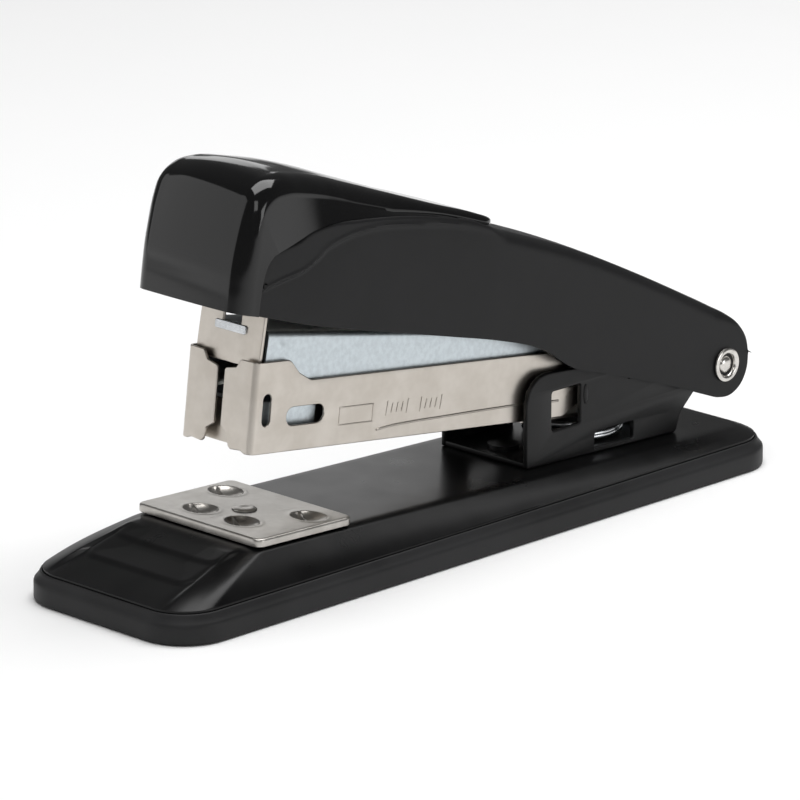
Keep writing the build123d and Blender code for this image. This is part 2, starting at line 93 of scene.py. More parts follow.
def cappedPart(grid):
    # columns close into a loop, and the first and last rows are filled
    points, faces = gridPart(grid, loopColumns=True)
    rows, columns = grid.shape[:2]
    ends = np.arange(columns)
    return points, faces + [ends[None, ::-1], (ends + (rows - 1) * columns)[None]]


def walledPart(grid, thickness):
    # the sheet, a copy pushed in along its normal by the thickness, and a strip round the rim
    rows, columns = grid.shape[:2]
    normal = np.cross(np.gradient(grid, axis=1), np.gradient(grid, axis=0))
    normal /= np.maximum(np.linalg.norm(normal, axis=2, keepdims=True), 1e-9)
    outward = np.sign((normal * (grid - grid.mean((0, 1)))).sum())
    inner = grid - normal * thickness * outward
    count = rows * columns
    faces = gridFaces(rows, columns)
    index = np.arange(count).reshape(rows, columns)
    rim = np.concatenate([index[0, :-1], index[:-1, -1], index[-1, :0:-1], index[:0:-1, 0]])
    after = np.roll(rim, -1)
    strip = np.stack([rim, rim + count, after + count, after], -1)
    points = np.concatenate([grid.reshape(-1, 3), inner.reshape(-1, 3)])
    return points, [faces, faces[:, ::-1] + count, strip]


def lengthsAlong(points):
    # distance along a line at each of its points: the running sum of its steps
    return np.concatenate([[0], np.cumsum(np.linalg.norm(np.diff(points, axis=0), axis=1))])


def atHeight(flat, height):
    # a flat outline at one height, or at a height for each point
    return np.column_stack([flat, np.full(len(flat), height)])


def smoothLine(points, count):
    # cubic through the points, its slope at each taken from its neighbours, evenly spaced in length
    points = np.array(points, float)
    chord = lengthsAlong(points)
    slope = np.gradient(points, chord, axis=0)
    along = np.linspace(0, chord[-1], count)
    index = np.clip(np.searchsorted(chord, along, side="right") - 1, 0, len(points) - 2)
    span = (chord[index + 1] - chord[index])[:, None]
    t = (along - chord[index])[:, None] / span
    return ((2 * t**3 - 3 * t**2 + 1) * points[index] + (t**3 - 2 * t**2 + t) * span * slope[index]
            + (3 * t**2 - 2 * t**3) * points[index + 1] + (t**3 - t**2) * span * slope[index + 1])


def roundedCorners(corners, radius, steps=6):
    # polygon with an arc of the radius at each corner, tangent to both of its sides
    corners = np.array(corners, float)
    radii = np.broadcast_to(radius, len(corners))
    pieces = []
    for here, before, after, wanted in zip(corners, np.roll(corners, 1, 0), np.roll(corners, -1, 0), radii):
        back, ahead = before - here, after - here
        backLength, aheadLength = np.linalg.norm(back), np.linalg.norm(ahead)
        back, ahead = back / backLength, ahead / aheadLength
        half = math.acos(np.clip(back @ ahead, -0.9999, 0.9999)) / 2
        cut = min(wanted / math.tan(half), 0.48 * backLength, 0.48 * aheadLength)
        if cut < 1e-3:
            pieces.append(here[None])
            continue
        size = cut * math.tan(half)
        centre = here + (back + ahead) / np.linalg.norm(back + ahead) * size / math.sin(half)
        start, end = here + back * cut - centre, here + ahead * cut - centre
        first = math.atan2(start[1], start[0])
        turn = (math.atan2(end[1], end[0]) - first + math.pi) % (2 * math.pi) - math.pi
        angle = first + turn * np.linspace(0, 1, steps + 1)
        pieces.append(centre + size * np.stack([np.cos(angle), np.sin(angle)], 1))
    return np.concatenate(pieces)


def obround(x, y, wide, high, radius=None):
    # rectangle about a centre, with round ends unless a smaller radius is given
    a, b = wide / 2, high / 2
    corners = [(x - a, y - b), (x + a, y - b), (x + a, y + b), (x - a, y + b)]
    return roundedCorners(corners, min(a, b) * 0.98 if radius is None else radius, 8)


def circle(x, y, radius, steps=40):
    angle = np.linspace(0, 2 * math.pi, steps, endpoint=False)
    return np.stack([x + radius * np.cos(angle), y + radius * np.sin(angle)], 1)


def ring(halfWide, halfLong, corner, counts, centre=0.0):
    # rounded rectangle, anticlockwise from the left end of its front side
    across, along, turn = counts
    x, y = halfWide - corner, halfLong - corner
    sides = [((-x, -halfLong), (x, -halfLong), across), ((halfWide, -y), (halfWide, y), along),
             ((x, halfLong), (-x, halfLong), across), ((-halfWide, y), (-halfWide, -y), along)]
    middles = [(x, -y), (x, y), (-x, y), (-x, -y)]
    line = []
    for (start, end, count), middle, first in zip(sides, middles, (-90, 0, 90, 180)):
        t = np.linspace(0, 1, count, endpoint=False)[:, None]
        line.append(np.array(start) + t * (np.array(end) - np.array(start)))
        angle = np.radians(first + np.linspace(0, 90, turn, endpoint=False))
        line.append(np.array(middle) + corner * np.stack([np.cos(angle), np.sin(angle)], 1))
    return np.concatenate(line) + (0, centre)


def holeRing(outline, x, y, radius):
    # circle with one point for each point of the outline, in the direction of that point
    angle = np.arctan2(outline[:, 1] - y, outline[:, 0] - x)
    return np.stack([x + radius * np.cos(angle), y + radius * np.sin(angle)], 1)


def flatPart(outline, holes=(), thickness=0.5, edge=0.12, cuts=()):
    # flat sheet about z = 0 with its outline and holes filled, its rims rounded by edge;
    # cuts are values of x where it gets a row of points, so that it can bend there
    curve = bpy.data.curves.new("flat", "CURVE")
    curve.dimensions = "2D"
    curve.fill_mode = "BOTH"
    curve.extrude = thickness / 2 - edge
    curve.bevel_depth = edge
    curve.bevel_resolution = 2
    curve.offset = -edge
    for line in (outline, *holes):
        spline = curve.splines.new("POLY")
        spline.points.add(len(line) - 1)
        flat = np.zeros((len(line), 4))
        flat[:, :2] = line
        spline.points.foreach_set("co", flat.ravel())
        spline.use_cyclic_u = True
    holder = bpy.data.objects.new("flat", curve)
    mesh = bpy.data.meshes.new_from_object(holder)
    sheet = bmesh.new()
    sheet.from_mesh(mesh)
    bmesh.ops.remove_doubles(sheet, verts=sheet.verts, dist=1e-4)
    for x in cuts:
        whole = sheet.verts[:] + sheet.edges[:] + sheet.faces[:]
        bmesh.ops.bisect_plane(sheet, geom=whole, dist=1e-5, plane_co=(x, 0, 0), plane_no=(1, 0, 0))
    bmesh.ops.triangulate(sheet, faces=sheet.faces)
    sheet.to_mesh(mesh)
    sheet.free()
    points = np.zeros(len(mesh.vertices) * 3)
    mesh.vertices.foreach_get("co", points)
    faces = np.zeros(len(mesh.polygons) * 3, int)
    mesh.polygons.foreach_get("vertices", faces)
    bpy.data.objects.remove(holder)
    bpy.data.curves.remove(curve)
    bpy.data.meshes.remove(mesh)
    return points.reshape(-1, 3), [faces.reshape(-1, 3)]


def turnedPart(profile, steps=64):
    # profile of (radius, height) points turned about the z axis
    profile = np.array(profile, float)
    angle = np.linspace(0, 2 * math.pi, steps, endpoint=False)[:, None]
    radius, height = profile[None, :, 0], profile[None, :, 1]
    grid = np.stack([radius * np.cos(angle), radius * np.sin(angle), height + 0 * angle], -1)
    return gridPart(grid, loopRows=True)


def tubePart(path, radius, sides=12, up=(0, 0, 1)):
    # circle of the radius carried along the path, square to it, with rounded ends
    path = np.array(path, float)
    along = np.gradient(path, axis=0)
    along /= np.linalg.norm(along, axis=1, keepdims=True)
    side = np.cross(along, np.broadcast_to(up, along.shape))
    side /= np.linalg.norm(side, axis=1, keepdims=True)
    over = np.cross(side, along)
    angle = np.linspace(0, 2 * math.pi, sides, endpoint=False)[None, :, None]
    circleAt = side[:, None] * np.cos(angle) + over[:, None] * np.sin(angle)
    grid = path[:, None] + radius * circleAt
    lids = []
    for end, way in ((0, -1), (-1, 1)):
        lean = np.array([0.63, 1.12])[:, None, None]
        lids.append(path[end] + radius * (circleAt[end] * np.cos(lean) + way * np.sin(lean) * along[end]))
    return cappedPart(np.concatenate([lids[0][::-1], grid, lids[1]]))


def moved(part, place):
    # the part with its points put through a function of an (n, 3) array
    return place(part[0]), part[1]


def bothSides(part):
    # the part and its mirror image across the middle plane
    return [part, (part[0] * (-1, 1, 1), [faces[:, ::-1] for faces in part[1]])]


def leaning(tilt):
    # from (side, forward of the hinge, up) to the object's frame, turned up by the tilt
    def place(points):
        side, ahead, up = points[:, 0], points[:, 1], points[:, 2]
        return np.stack([side, hinge[1] - ahead * math.cos(tilt) + up * math.sin(tilt),
                         hinge[2] + ahead * math.sin(tilt) + up * math.cos(tilt)], 1)
    return place


inMagazine, inArm = leaning(restTilt), leaning(restTilt + pressTilt)


def sideways(x):
    # a flat part drawn as (along, up) stands on edge at a distance from the middle plane
    return lambda points: np.stack([x + points[:, 2], points[:, 0], points[:, 1]], 1)


def makePiece(name, parts, material, body, replaced, sharp=35):
    # joins the parts, merges doubled points, turns faces outward and shades by angle
    points, faces, base = [], [], 0
    for partPoints, partFaces in parts:
        points.append(partPoints)
        for group in partFaces:
            faces.extend((group + base).tolist())
        base += len(partPoints)
    mesh = bpy.data.meshes.new(name)
    mesh.from_pydata((np.concatenate(points) * mm).tolist(), [], faces)
    work = bmesh.new()
    work.from_mesh(mesh)
    bmesh.ops.remove_doubles(work, verts=work.verts, dist=2e-6)
    bmesh.ops.dissolve_degenerate(work, edges=work.edges, dist=1e-7)
    bmesh.ops.recalc_face_normals(work, faces=work.faces)
    work.to_mesh(mesh)
    work.free()
    mesh.shade_smooth()
    mesh.set_sharp_from_angle(angle=math.radians(sharp))
    mesh.materials.append(material)
    made = bpy.data.objects.new(name, mesh)
    bpy.context.scene.collection.objects.link(made)
    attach(made, body)
    if replaced:
        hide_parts(*replaced)
    print("made", name, len(mesh.polygons), "faces")
    return made


# ---- finishes ----
class Value:
    # one socket of a shader tree; sums and products of these make Math nodes
    def __init__(self, paint, socket):
        self.paint, self.socket = paint, socket

    def maths(self, operation, first, second):
        return self.paint.node("ShaderNodeMath", {"operation": operation}, {0: first, 1: second})

    def __add__(self, other):
        return self.maths("ADD", self, other)

    __radd__ = __add__

    def __mul__(self, other):
        return self.maths("MULTIPLY", self, other)

    __rmul__ = __mul__

    def __rsub__(self, other):
        return self.maths("SUBTRACT", other, self)

    def between(self, low, high):  # 0 below low, 1 above high, smooth between them
        settings = {"interpolation_type": "SMOOTHSTEP"}
        return self.paint.node("ShaderNodeMapRange", settings, {0: self, 1: low, 2: high})


class Paint:
    # a material with one Principled shader; fixed holds the sockets that stay the same all over
    def __init__(self, name, fixed):
        self.material = bpy.data.materials.new(name)
        self.material.use_nodes = True
        self.tree = self.material.node_tree
        self.tree.nodes.clear()
        self.shader = self.tree.nodes.new("ShaderNodeBsdfPrincipled")
        output = self.tree.nodes.new("ShaderNodeOutputMaterial")
        self.tree.links.new(self.shader.outputs["BSDF"], output.inputs["Surface"])
        for socket, value in fixed.items():
            self.shader.inputs[socket].default_value = value
        self.place = self.node("ShaderNodeTexCoord", output="Object")

    # a node with its settings and inputs, which are values or links; gives one of its outputs
    def node(self, kind, settings=None, inputs=None, output=0):
        made = self.tree.nodes.new(kind)
        for key, value in (settings or {}).items():
            setattr(made, key, value)
        for key, value in (inputs or {}).items():
            if isinstance(value, Value):
                self.tree.links.new(value.socket, made.inputs[key])
            else:
                made.inputs[key].default_value = value
        return Value(self, made.outputs[output])

    def feed(self, socket, value):
        self.tree.links.new(value.socket, self.shader.inputs[socket])

    def noise(self, size, detail=2.0, stretch=(1, 1, 1)):
        # cloudy pattern whose features are about size millimetres, drawn out by stretch
        scale = tuple(1 / s for s in stretch)
        place = self.node("ShaderNodeMapping", {}, {"Vector": self.place, "Scale": scale})
        inputs = {"Vector": place, "Scale": 1 / (size * mm), "Detail": detail, "Roughness": 0.6}
        return self.node("ShaderNodeTexNoise", {}, inputs)

    def cells(self, size):
        inputs = {"Vector": self.place, "Scale": 1 / (size * mm)}
        return self.node("ShaderNodeTexVoronoi", {"feature": "F1"}, inputs)

    def colours(self, factor, first, second):
        inputs = {0: factor, 6: (*first, 1), 7: (*second, 1)}
        return self.node("ShaderNodeMix", {"data_type": "RGBA"}, inputs, 2)

    def bump(self, height, depth, under=None):
        inputs = {"Height": height, "Distance": depth * mm, "Strength": 1.0}
        if under:
            inputs["Normal"] = under
        return self.node("ShaderNodeBump", {}, inputs)


def paintedFinish(name, look):
    # paint or moulded plastic: a fine grain, cloudy gloss, and a little lint caught on it
    paint = Paint(name, {"Specular IOR Level": look["specular"]})
    grain = paint.noise(look["grainSize"], 3)
    cloud = paint.noise(look["cloudSize"], 2)
    lint = 1 - paint.cells(look["lintSpacing"]).between(0.03, 0.07)
    lint = lint * paint.noise(9.0).between(0.52, 0.62)
    tone = cloud.between(0.3, 0.7) * 0.7 + lint * 0.3
    paint.feed("Base Color", paint.colours(tone, look["dark"], look["light"]))
    low, high = look["roughness"]
    paint.feed("Roughness", low + (high - low) * cloud + lint * 0.12)
    waves = paint.bump(cloud, look["waveDepth"])
    paint.feed("Normal", paint.bump(grain, look["grainDepth"], waves))
    return paint.material


def platedFinish(name, look):
    # plated sheet steel: drawn streaks, a mottled bloom, fine pits and a few scratches
    paint = Paint(name, {"Metallic": 1.0})
    streaks = paint.noise(look["streakSize"], 3, look["streakWay"])
    bloom = paint.noise(look["bloomSize"], 3)
    pits = paint.cells(look["pitSpacing"]).between(0.02, 0.16)
    scratches = paint.noise(0.5, 2, look["scratchWay"]).between(0.66, 0.72)
    tone = bloom.between(0.3, 0.7) * 0.75 + streaks * 0.25
    paint.feed("Base Color", paint.colours(tone, look["dark"], look["light"]))
    low, high = look["roughness"]
    paint.feed("Roughness", low + (high - low) * (0.5 * bloom + 0.5 * streaks) + scratches * 0.08)
    grain = paint.bump(streaks, look["streakDepth"])
    paint.feed("Normal", paint.bump(pits, look["pitDepth"], grain))
    return paint.material


painted = {
    "sole_rubber": {
        "specular": 0.24, "dark": (0.013, 0.013, 0.0135), "light": (0.022, 0.022, 0.023),
        "roughness": (0.42, 0.56), "grainSize": 0.25, "grainDepth": 0.012, "cloudSize": 14.0,
        "waveDepth": 0.02, "lintSpacing": 3.0},
    "black_paint": {
        "specular": 0.24, "dark": (0.0015, 0.0015, 0.0017), "light": (0.0045, 0.0045, 0.0048),
        "roughness": (0.24, 0.34), "grainSize": 0.4, "grainDepth": 0.004, "cloudSize": 9.0,
        "waveDepth": 0.012, "lintSpacing": 2.4},
    "bracket_paint": {
        "specular": 0.3, "dark": (0.004, 0.004, 0.0043), "light": (0.008, 0.008, 0.0085),
        "roughness": (0.30, 0.40), "grainSize": 0.35, "grainDepth": 0.005, "cloudSize": 6.0,
        "waveDepth": 0.01, "lintSpacing": 2.4},
    "handle_black": {
        "specular": 0.22, "dark": (0.0075, 0.0075, 0.008), "light": (0.0105, 0.0105, 0.011),
        "roughness": (0.40, 0.50), "grainSize": 0.22, "grainDepth": 0.012, "cloudSize": 11.0,
        "waveDepth": 0.012, "lintSpacing": 3.2},
    "cap_gloss": {
        "specular": 0.5, "dark": (0.0022, 0.0022, 0.0024), "light": (0.004, 0.004, 0.0042),
        "roughness": (0.07, 0.12), "grainSize": 0.9, "grainDepth": 0.0008, "cloudSize": 12.0,
        "waveDepth": 0.01, "lintSpacing": 3.6},
    "washer_nylon": {
        "specular": 0.5, "dark": (0.55, 0.54, 0.50), "light": (0.66, 0.65, 0.61),
        "roughness": (0.40, 0.52), "grainSize": 0.3, "grainDepth": 0.004, "cloudSize": 5.0,
        "waveDepth": 0.01, "lintSpacing": 3.0},
}
plated = {
    "nickel": {
        "dark": (0.50, 0.46, 0.41), "light": (0.60, 0.56, 0.51),
        "roughness": (0.24, 0.36), "streakSize": 0.35, "streakWay": (1, 9, 1), "streakDepth": 0.003,
        "scratchWay": (1, 14, 3), "bloomSize": 6.0, "pitSpacing": 0.7, "pitDepth": 0.0015},
    "anvil_nickel": {
        "dark": (0.40, 0.38, 0.35), "light": (0.54, 0.52, 0.49),
        "roughness": (0.26, 0.38), "streakSize": 0.3, "streakWay": (1, 3, 1), "streakDepth": 0.003,
        "scratchWay": (2, 10, 2), "bloomSize": 4.0, "pitSpacing": 0.6, "pitDepth": 0.002},
    "zinc": {
        "dark": (0.52, 0.57, 0.60), "light": (0.64, 0.70, 0.73),
        "roughness": (0.34, 0.46), "streakSize": 0.3, "streakWay": (1, 2, 1), "streakDepth": 0.007,
        "scratchWay": (1, 12, 2), "bloomSize": 0.9, "pitSpacing": 0.35, "pitDepth": 0.004},
    "rivet_steel": {
        "dark": (0.55, 0.53, 0.50), "light": (0.74, 0.72, 0.69),
        "roughness": (0.16, 0.26), "streakSize": 0.3, "streakWay": (1, 1, 1), "streakDepth": 0.003,
        "scratchWay": (1, 8, 1), "bloomSize": 1.6, "pitSpacing": 0.5, "pitDepth": 0.002},
    "spring_steel": {
        "dark": (0.50, 0.52, 0.54), "light": (0.72, 0.74, 0.76),
        "roughness": (0.20, 0.32), "streakSize": 0.2, "streakWay": (4, 4, 1), "streakDepth": 0.003,
        "scratchWay": (8, 8, 1), "bloomSize": 2.0, "pitSpacing": 0.5, "pitDepth": 0.002},
}
finish = {name: paintedFinish(name, look) for name, look in painted.items()}
finish.update({name: platedFinish(name, look) for name, look in plated.items()})
print("finishes made:", len(finish))


# ---- sole ----
sole = {"corner": 8.4, "counts": (60, 90, 14), "buttonHole": 5.6}
anvilPlate = {"width": 27.4, "length": 20.6, "thickness": 1.4, "corner": 1.0, "gap": 0.1, "edge": 0.45,
              "counts": (110, 84, 5), "rows": 60, "rivetHole": 2.0}
anvilLow, anvilHigh = boxOf("anvil_plate")
anvilY = (anvilLow[1] + anvilHigh[1]) / 2
baseTop = {"frontSet": 20.0, "rearSet": 3.4, "half": 13.2, "corner": 3.6, "frontHeight": 10.3}


def onPlateau(y):  # height of the base's flat top at a place along the object
    return baseTop["frontHeight"] - (y - frontY - baseTop["frontSet"]) * math.tan(plateauFall)


def makeSole():
    # rounded rectangle drawn in by the first number at the height of the second, ring by ring:
    # up the side, over a soft bead, into the groove round the steel, then the button's hole
    section = [(0.9, 0.0), (0.45, 0.0), (0.18, 0.1), (0.03, 0.3), (0.0, 0.6), (0.0, 2.6), (0.03, 2.95),
               (0.12, 3.2), (0.3, 3.42), (0.6, 3.75), (0.85, 4.15), (0.98, 4.45), (1.08, 4.62), (1.2, 4.7),
               (1.34, 4.66), (1.44, 4.5), (1.5, 4.2), (2.2, 4.1)]
    half, long = soleHigh[0], soleHigh[1]
    rings = []
    for inset, height in section:
        flat = ring(half - inset, long - inset, sole["corner"] - inset, sole["counts"])
        rings.append(atHeight(flat, height))
    hole = holeRing(rings[0][:, :2], 0, anvilY, sole["buttonHole"])
    rings += [atHeight(hole, section[-1][1]), atHeight(hole, 0.0)]
    part = gridPart(np.stack(rings), loopRows=True, loopColumns=True)
    makePiece("sole_tread", [part], finish["sole_rubber"], "base", ["sole"], 50)


makeSole()


# ---- pressed steel base ----
base = {"inset": 1.45, "corner": 7.0, "flangeLow": 4.4, "flangeTop": 5.1, "bulge": 0.10, "frontBulge": 0.015,
        "edgeShare": 0.90, "edgeInset": 1.6, "counts": (110, 150, 18), "stepHalf": 12.2, "stepCorner": 3.2,
        "stepShares": (0.33, 0.66), "stepRise": 0.24, "stepRim": 1.5, "stepFade": 6.0, "sheet": 1.0,
        "underInset": 2.6, "flange": 2.2}


def baseSteps(points, share, slope):
    # two raised steps on the front slope; each is highest at its rim, which is a rounded
    # rectangle, and fades to nothing further up the slope
    risen = points.copy()
    up = np.array([0, -math.sin(slope), math.cos(slope)])
    length = baseTop["frontSet"] / math.cos(slope)
    for bottom in base["stepShares"]:
        r = base["stepCorner"]
        across = np.abs(points[:, 0]) - (base["stepHalf"] - r)
        along = (bottom - share) * length + r
        outside = np.hypot(np.maximum(across, 0), np.maximum(along, 0))
        depth = r - outside - np.minimum(np.maximum(across, along), 0)
        rim = np.clip(depth / base["stepRim"], 0, 1)
        rise = rim * rim * (3 - 2 * rim) * np.clip(1 - depth / base["stepFade"], 0, 1)
        top = np.clip((1.0 - share) / 0.12, 0, 1)
        front = points[:, 1] < frontY + baseTop["frontSet"] + 1
        risen += np.outer(rise * top * front * base["stepRise"], up)
    return risen


def makeBase():
    # rings run from the flange up to the flat top: straight in a line from one outline to the
    # other with a slight bulge, then a curve over the edge; the same rings lower make the underside
    half, long = soleHigh[0] - base["inset"], soleHigh[1] - base["inset"]
    middle = (frontY + baseTop["frontSet"] + soleHigh[1] - baseTop["rearSet"]) / 2
    topLong = soleHigh[1] - baseTop["rearSet"] - middle

    def topRing(inset, drop):
        corner = baseTop["corner"] - inset
        flat = ring(baseTop["half"] - inset, topLong - inset, corner, base["counts"], middle)
        return atHeight(flat, onPlateau(flat[:, 1]) - drop)

    foot = ring(half, long, base["corner"], base["counts"])
    low = atHeight(foot, base["flangeTop"])
    edge = topRing(0, 0)
    slope = math.atan2(baseTop["frontHeight"] - base["flangeTop"], baseTop["frontSet"] - base["inset"])
    isFront = low[:, 1] < frontY + base["inset"] + 0.4
    bulge = np.where(isFront, base["frontBulge"], base["bulge"])
    rings = [atHeight(foot, base["flangeLow"]), low - (0, 0, 0.25)]
    for share in np.linspace(0, base["edgeShare"], 64):
        inward = np.clip(share - bulge * math.sin(math.pi * share), 0, 1)[:, None] * (1, 1, 0)
        point = low + (edge - low) * (inward + np.array([0, 0, share]))
        rings.append(baseSteps(point, share, slope))
    start, inner = rings[-1], topRing(base["edgeInset"], 0)
    for s in np.linspace(0.12, 1, 9):
        rings.append((1 - s)**2 * start + 2 * s * (1 - s) * edge + s**2 * inner)
    hole = holeRing(inner[:, :2], 0, anvilY, anvilPlate["rivetHole"])
    deck = onPlateau(hole[:, 1])
    rings += [atHeight(hole, deck), atHeight(hole, deck - base["sheet"])]
    rings.append(topRing(base["underInset"], base["sheet"]))
    flange = base["flange"]
    inside = ring(half - flange, long - flange, base["corner"] - flange, base["counts"])
    rings.append(atHeight(inside, base["flangeLow"]))
    part = gridPart(np.stack(rings), loopRows=True, loopColumns=True)
    makePiece("base_pressing", [part], finish["black_paint"], "base", ["base_shell"], 50)


makeBase()


# ---- anvil ----
anvilPockets = {"places": ((-4.6, -4.9), (4.6, -4.9), (-9.2, 4.9), (9.2, 4.9)), "half": (3.0, 2.5),
                "depth": 0.85, "finWay": (0.51, 0.86), "finSet": 0.8, "finWide": 0.34, "lip": 0.05}


def pocketDepth(x, y):
    # each pocket is a round-bottomed bowl with a sharp fin standing across it at a slant, and a
    # low lip pushed up round it
    height = np.zeros_like(x)
    a, b = anvilPockets["half"]
    finX, finY = anvilPockets["finWay"]
    for middleX, middleY in anvilPockets["places"]:
        u, v = (x - middleX) / a, (y - middleY) / b
        r = np.hypot(u, v)
        bowl = np.clip(1 - r**2, 0, 1)**0.8
        fromFin = np.abs((x - middleX) * finX + (y - middleY) * finY + anvilPockets["finSet"])
        fin = np.clip(1 - fromFin / anvilPockets["finWide"], 0, 1)
        height -= bowl * anvilPockets["depth"] * (1 - 0.85 * fin)
        height += anvilPockets["lip"] * np.exp(-((r - 1.12) / 0.14)**2)
    return height


def onBase(points):
    # from the flat top's own frame, anvil at the origin, to the object's frame
    side, along, up = points[:, 0], points[:, 1], points[:, 2]
    c, s = math.cos(plateauFall), math.sin(plateauFall)
    return np.stack([side, anvilY + along * c + up * s, onPlateau(anvilY) - along * s + up * c], 1)


def makeAnvil():
    # rings from the rivet's hole out to the rounded edge, each set up or down by the pockets
    p = anvilPlate

    def edgeRing(out):
        halfWide, halfLong = p["width"] / 2 - p["edge"] + out, p["length"] / 2 - p["edge"] + out
        return ring(halfWide, halfLong, p["corner"] + out, p["counts"])

    outline = edgeRing(0)
    hole = holeRing(outline, 0, 0, p["rivetHole"])
    high = p["gap"] + p["thickness"]
    rings = [atHeight(hole, p["gap"])]
    for share in np.linspace(0, 1, p["rows"]):
        flat = hole * (1 - share) + outline * share
        fade = min(1.0, (1 - share) * 30)
        rings.append(atHeight(flat, high + fade * pocketDepth(flat[:, 0], flat[:, 1])))
    for out, down in ((0.16, 0.02), (0.29, 0.09), (0.39, 0.20), (0.44, 0.34), (0.45, 0.55), (0.45, 1.0),
                      (0.42, 1.25), (0.3, 1.36), (0.1, 1.4)):
        rings.append(atHeight(edgeRing(out), high - down))
    part = gridPart(np.stack(rings), loopRows=True, loopColumns=True)
    makePiece("anvil_table", [moved(part, onBase)], finish["anvil_nickel"], "anvil",
              ["anvil_plate"], 32)
    # rivet: a low dome in the plate's hole with a thin shadow line round it
    low = p["gap"]
    head = [(0, low - 0.02), (1.85, low - 0.02), (1.92, high - 0.05), (2.0, high + 0.06), (1.9, high + 0.2),
            (1.55, high + 0.32), (1.0, high + 0.38), (0.6, high + 0.3), (0, high + 0.27)]
    makePiece("anvil_rivet_head", [moved(turnedPart(head), onBase)], finish["anvil_nickel"], "anvil",
              ["anvil_rivet"])


makeAnvil()


# ---- handle and cap ----
handle = {"half": 11.2, "round": 2.2, "crown": 0.5, "wall": 0.8, "rows": 200,
          "ridgeStep": 0.28, "ridgeBead": 0.16, "coverEnd": 79.0, "coverRound": 0.7, "rearFade": 12.0}
cap = {"half": 10.9, "frontHalf": 12.1, "round": 3.3, "crown": 0.6, "draft": 0.9, "wall": 0.8, "rows": 170}


def fromFront(points):  # (distance from the sole's front, height) to (y, z)
    return np.array(points, float) + (frontY, 0)


# side views: the handle's lower edge, its rear end, its top line, and its top line under the cap
handleLow = [(24.4, 46.0), (34.0, 42.8), (43.5, 40.1), (54.4, 37.3), (65.6, 34.4), (76.9, 31.4),
             (84.0, 29.1), (88.0, 27.3), (91.0, 25.2), (94.5, 23.1), (100.3, 21.2), (109.9, 18.0),
             (119.7, 14.5), (126.0, 12.0)]
handleRear = [(129.0, 10.95), (132.0, 10.8), (134.6, 12.2), (136.0, 14.6), (136.3, 17.2)]
handleTop = [(76.1, 50.0), (83.0, 47.4), (92.2, 43.9), (101.6, 39.8), (111.2, 35.2), (120.9, 30.3),
             (128.0, 26.6), (131.6, 24.6), (134.2, 22.6), (135.8, 20.2), (136.35, 17.3)]
capSeam = [(24.4, 51.0), (25.0, 54.8), (27.0, 55.5), (29.8, 55.9), (33.0, 56.4), (35.2, 57.2), (39.4, 57.7),
           (45.9, 57.2), (54.6, 56.1), (61.3, 54.8), (72.5, 51.6)]
# side view of the cap, row by row: a point of its top line, then where that row's side ends
capRows = [
    (77.3, 50.6, 76.7, 50.1), (76.0, 51.4, 75.4, 50.6), (73.0, 52.7, 72.8, 51.4), (64.5, 55.7, 65.0, 53.9),
    (55.7, 58.9, 55.9, 55.8), (47.0, 62.1, 47.4, 57.0), (40.6, 64.4, 41.2, 57.6), (34.5, 66.1, 35.6, 57.3),
    (30.0, 66.9, 32.2, 56.5), (26.4, 66.6, 29.6, 55.9), (24.1, 65.1, 28.0, 55.6), (22.6, 62.2, 27.2, 55.4),
    (21.5, 59.0, 26.4, 55.1), (20.4, 55.0, 24.9, 53.4), (19.7, 51.0, 23.9, 50.2), (19.2, 47.4, 23.2, 46.4)]
# the raised line along the handle's side
handleRidge = [(24.4, 50.2), (29.0, 51.0), (33.5, 51.6), (36.5, 52.8), (39.0, 54.2), (42.5, 55.0),
               (48.0, 55.4), (58.0, 54.2), (66.0, 52.6), (76.0, 49.4)]


def squareTo(top, low):
    # unit steps square to the top line, on the side where the low line is
    along = np.gradient(top, axis=0)
    inward = np.stack([along[:, 1], -along[:, 0]], 1) / np.linalg.norm(along, axis=1, keepdims=True)
    return inward * np.sign((inward * (low - top)).sum())


def hoodGrid(top, low, inward, half, radius, crown, draft=0.0,
             arcSteps=9, sideSteps=16, acrossSteps=15):
    # sheet over a side view: each row goes up one side from the low line to the radius short of the
    # top line, leaning in by the draft, round a quarter circle, over a slightly crowned top and down
    # the other side
    height = np.linalg.norm(low - top, axis=1, keepdims=True)
    radius = np.minimum(np.broadcast_to(radius, len(top))[:, None], 0.85 * height)
    half = np.broadcast_to(half, len(top))[:, None]
    shoulder = top + inward * radius
    columns = []
    for t in np.linspace(0, 1, sideSteps, endpoint=False):
        columns.append(np.concatenate([half - draft * t, low + (shoulder - low) * t], 1))
    half = half - draft
    crown = crown * np.clip(height / 8.0, 0, 1)
    for angle in np.linspace(0, math.pi / 2, arcSteps):
        x = half - radius * (1 - math.cos(angle))
        columns.append(np.concatenate([x, shoulder - inward * radius * math.sin(angle)], 1))
    for t in np.linspace(1, 0, acrossSteps)[1:]:
        x = (half - radius) * t
        columns.append(np.concatenate([x, top - inward * crown * (1 - t * t)], 1))
    right = np.stack(columns, 1)
    left = right[:, -2::-1] * (-1, 1, 1)
    return np.concatenate([right, left], 1)


